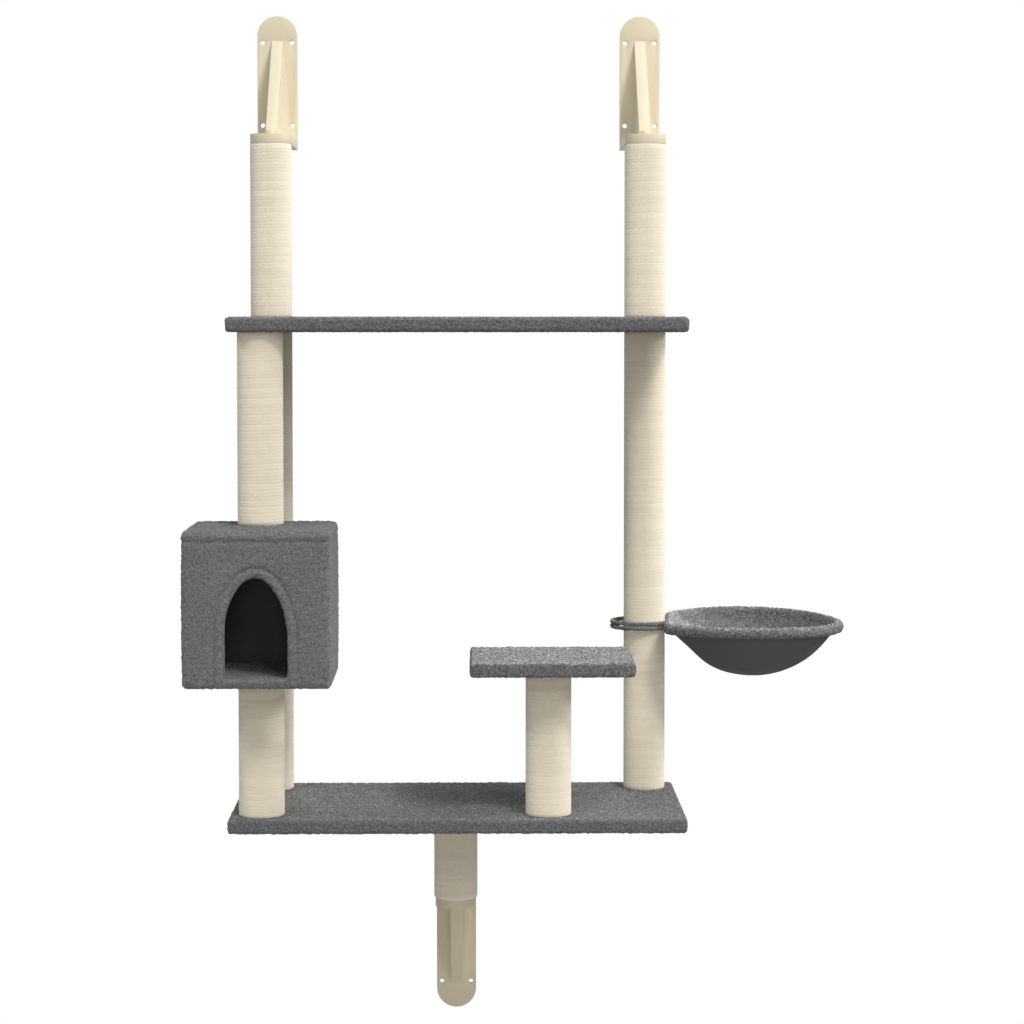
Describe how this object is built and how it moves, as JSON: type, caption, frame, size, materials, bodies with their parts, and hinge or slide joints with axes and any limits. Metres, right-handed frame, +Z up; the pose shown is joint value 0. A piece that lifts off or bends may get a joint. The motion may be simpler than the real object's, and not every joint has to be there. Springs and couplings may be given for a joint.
{
  "type": "wall mounted cat tree",
  "caption": "Wall mounted cat tree: rope wound posts carry plush platforms, a step, a cat house with an arched doorway and a hammock that swivels about its post, on screw-on wall brackets.",
  "frame": {"origin": "middle of the lower bracket's four screw holes, on the wall", "axes": "+Z up, +Y into the wall, the front faces -Y, +X to the right as seen from the front"},
  "size_m": [1.0297, 0.5174, 1.662],
  "materials": {
    "cream_plastic": "satin moulded",
    "rope": "tightly wound pale cord",
    "plush": "short soft pile",
    "felt": "flat felt",
    "black_cloth": "plain weave",
    "board": "raw particle board",
    "paper_tube": "brown paper",
    "white_plastic": "moulded",
    "steel": "zinc plated"
  },
  "bodies": {
    "tree": {"bracket_upper_left": "cream_plastic", "bracket_upper_right": "cream_plastic", "bracket_lower": "cream_plastic", "bracket_bolts": "steel", "bracket_washers": "steel", "upper_left_tube": "paper_tube", "upper_right_tube": "paper_tube", "rear_left_tube": "paper_tube", "rear_right_tube": "paper_tube", "house_lower_tube": "paper_tube", "house_upper_tube": "paper_tube", "step_tube": "paper_tube", "lower_tube": "paper_tube", "upper_left_rope": "rope", "upper_right_rope": "rope", "rear_left_rope": "rope", "rear_right_rope": "rope", "house_lower_rope": "rope", "house_upper_rope": "rope", "step_rope": "rope", "lower_rope": "rope", "rear_post_plugs": "white_plastic", "front_post_plugs": "white_plastic", "post_inserts": "steel", "top_platform_board": "board", "top_platform_cover": "plush", "bottom_platform_board": "board", "bottom_platform_cover": "plush", "step_board": "board", "step_cover": "plush", "through_studs": "steel", "platform_bolts": "steel", "platform_washers": "steel", "tee_nuts": "steel", "tee_nut_studs": "steel", "house_floor": "board", "house_roof": "board", "house_left_side": "board", "house_right_side": "board", "house_back": "board", "house_front": "board", "house_cover": "plush", "house_lining": "black_cloth", "house_floor_mat": "plush", "doorway_binding": "plush", "house_screws": "steel", "house_roof_bolt": "steel", "house_roof_washer": "steel"},
    "hammock": {"hammock_frame": "steel", "hammock_rim_sleeve": "plush", "hammock_upper_loop_sleeve": "plush", "hammock_lower_loop_sleeve": "plush", "hammock_bowl_lining": "plush", "hammock_bowl_underside": "felt"}
  },
  "joints": [
    {"name": "hammock_swivel", "type": "hinge", "parent": "tree", "child": "hammock", "pos_m": [0.306, -0.155, 0.552], "axis": [0, 0, 1], "range_deg": [-42, 3]}
  ]
}
